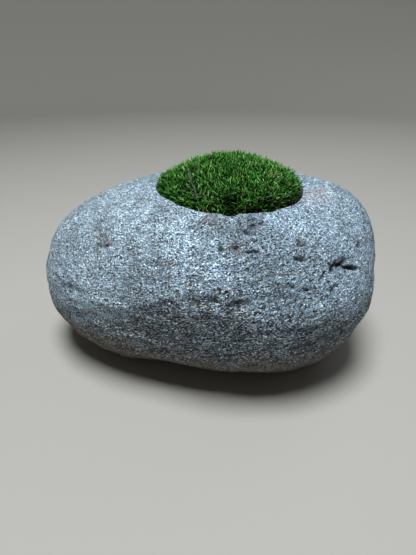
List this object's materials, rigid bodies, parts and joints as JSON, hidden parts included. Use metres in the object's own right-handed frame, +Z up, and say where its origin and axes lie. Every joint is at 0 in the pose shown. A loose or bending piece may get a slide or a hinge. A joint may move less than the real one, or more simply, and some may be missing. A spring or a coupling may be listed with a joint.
{
  "type": "mossy rock planter",
  "caption": "Rounded natural stone with a round hollow drilled in its top, planted with a domed cushion of moss.",
  "frame": {"origin": "centre of the plan, on the surface that the stone rests on", "axes": "+X towards the stone's blunt right end, -Y its front, +Z up"},
  "size_m": [0.1787, 0.1376, 0.1083],
  "materials": {
    "stone": "matte",
    "soil": "matte",
    "moss": "matte",
    "dry_wood": "matte"
  },
  "bodies": {
    "root": {"rock": "stone", "soil": "soil", "moss": "moss", "twig": "dry_wood"}
  },
  "joints": []
}
